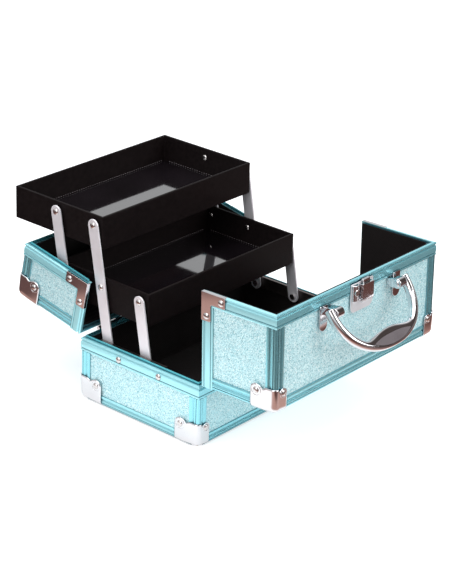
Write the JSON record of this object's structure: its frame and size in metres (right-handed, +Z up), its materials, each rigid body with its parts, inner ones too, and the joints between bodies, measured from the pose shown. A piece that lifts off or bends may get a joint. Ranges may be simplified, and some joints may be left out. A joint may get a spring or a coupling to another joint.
{
  "type": "makeup train case",
  "caption": "Hard makeup case with a double-hinged split lid, two cantilever trays that rise on straps, a fold-down carry handle and a front latch.",
  "frame": {"origin": "centre of the base's underside, on the plane the case stands on", "axes": "+Z up, +X along the length, -Y towards the side with the front lid, the handle and the latch"},
  "size_m": [0.2452, 0.3862, 0.1873],
  "materials": {
    "board": "bare fibreboard core",
    "underside_sheet": "fine pebble",
    "glitter_skin": "fine glitter under a clear film",
    "lining_fabric": "black woven lining",
    "turquoise_aluminium": "ridged, bright anodised turquoise",
    "chrome": "polished chrome plate",
    "strap_steel": "satin plated steel",
    "rivet_steel": "polished domed heads",
    "tray_leatherette": "black leatherette over board",
    "tray_mat": "glossy black sheet",
    "grip_pad": "smooth grey pad"
  },
  "bodies": {
    "root": {"base_bottom_board": "board", "base_long_boards": "board", "base_end_boards": "board", "base_underside_sheet": "underside_sheet", "base_skins": "glitter_skin", "base_lining": "lining_fabric", "base_rim": "turquoise_aluminium", "base_corner_posts": "turquoise_aluminium", "base_bottom_rails": "turquoise_aluminium", "base_corner_guards": "chrome", "base_rivets": "rivet_steel", "base_hinge_leaves": "chrome", "tray_rails": "strap_steel", "rail_pivot_rivets": "rivet_steel", "front_hinge_pins": "chrome", "rear_hinge_pins": "chrome"},
    "front_lid": {"front_lid_front_board": "board", "front_lid_top_board": "board", "front_lid_end_boards": "board", "front_lid_skins": "glitter_skin", "front_lid_lining": "lining_fabric", "front_lid_rim": "turquoise_aluminium", "front_lid_edge_angles": "turquoise_aluminium", "front_lid_corner_guards": "chrome", "front_lid_brackets": "chrome", "front_lid_rivets": "rivet_steel", "front_hinge_leaves": "chrome", "handle_feet": "chrome", "handle_pins": "chrome", "latch_plate": "chrome", "latch_pin": "chrome"},
    "handle": {"handle_bow": "chrome", "handle_grip": "grip_pad"},
    "latch_lever": {"latch_lever": "chrome", "latch_claw": "chrome"},
    "lock_barrel": {"lock_barrel": "chrome"},
    "rear_lid": {"rear_lid_rear_board": "board", "rear_lid_top_board": "board", "rear_lid_end_boards": "board", "rear_lid_skins": "glitter_skin", "rear_lid_lining": "lining_fabric", "rear_lid_rim": "turquoise_aluminium", "rear_lid_edge_angles": "turquoise_aluminium", "rear_lid_corner_guards": "chrome", "rear_lid_brackets": "chrome", "rear_lid_rivets": "rivet_steel", "rear_hinge_leaves": "chrome", "latch_strike": "chrome"},
    "long_straps": {"long_straps": "strap_steel"},
    "front_straps": {"front_straps": "strap_steel"},
    "rear_straps": {"rear_straps": "strap_steel"},
    "lower_tray": {"lower_tray": "tray_leatherette", "lower_tray_mat": "tray_mat", "lower_tray_rivets": "rivet_steel"},
    "upper_tray": {"upper_tray": "tray_leatherette", "upper_tray_mat": "tray_mat", "upper_tray_rivets": "rivet_steel"}
  },
  "joints": [
    {"name": "front_lid_hinge", "type": "hinge", "parent": "root", "child": "front_lid", "pos_m": [0, -0.07825, 0.0635], "axis": [-1, 0, 0], "range_deg": [-1.7, 88.2]},
    {"name": "tray_fold", "type": "hinge", "parent": "root", "child": "long_straps", "pos_m": [0, 0.0484, 0.0578], "axis": [1, 0, 0], "range_deg": [0, 64.9]},
    {"name": "front_strap_pivot", "type": "hinge", "parent": "root", "child": "front_straps", "pos_m": [0, -0.0009, 0.0578], "axis": [1, 0, 0], "range_deg": [0, 64.9]},
    {"name": "lower_tray_level", "type": "hinge", "parent": "long_straps", "child": "lower_tray", "pos_m": [0, 0.05931, 0.11782], "axis": [1, 0, 0], "range_deg": [-64.9, 0]},
    {"name": "upper_tray_level", "type": "hinge", "parent": "long_straps", "child": "upper_tray", "pos_m": [0, 0.07021, 0.17783], "axis": [1, 0, 0], "range_deg": [-64.9, 0]},
    {"name": "rear_strap_pivot", "type": "hinge", "parent": "lower_tray", "child": "rear_straps", "pos_m": [0, 0.10861, 0.11782], "axis": [1, 0, 0], "range_deg": [0, 64.9]},
    {"name": "rear_lid_hinge", "type": "hinge", "parent": "root", "child": "rear_lid", "pos_m": [0, 0.07825, 0.0635], "axis": [1, 0, 0], "range_deg": [0, 36]},
    {"name": "handle_swing", "type": "hinge", "parent": "front_lid", "child": "handle", "pos_m": [0, -0.17292, 0.14695], "axis": [-1, 0, 0], "range_deg": [0, 96]},
    {"name": "latch_lever_hinge", "type": "hinge", "parent": "front_lid", "child": "latch_lever", "pos_m": [0, -0.16691, 0.14367], "axis": [-1, 0, 0], "range_deg": [-95, 0]},
    {"name": "lock_turn", "type": "hinge", "parent": "front_lid", "child": "lock_barrel", "pos_m": [-0.01, -0.16246, 0.15204], "axis": [0, -0.9996, 0.0297], "range_deg": [0, 90]}
  ],
  "couplings": [
    {"joint": "front_strap_pivot", "follows": "tray_fold", "ratio": 1},
    {"joint": "lower_tray_level", "follows": "tray_fold", "ratio": -1},
    {"joint": "upper_tray_level", "follows": "tray_fold", "ratio": -1},
    {"joint": "rear_strap_pivot", "follows": "tray_fold", "ratio": 1},
    {"joint": "rear_lid_hinge", "follows": "tray_fold", "ratio": 0.5547}
  ]
}
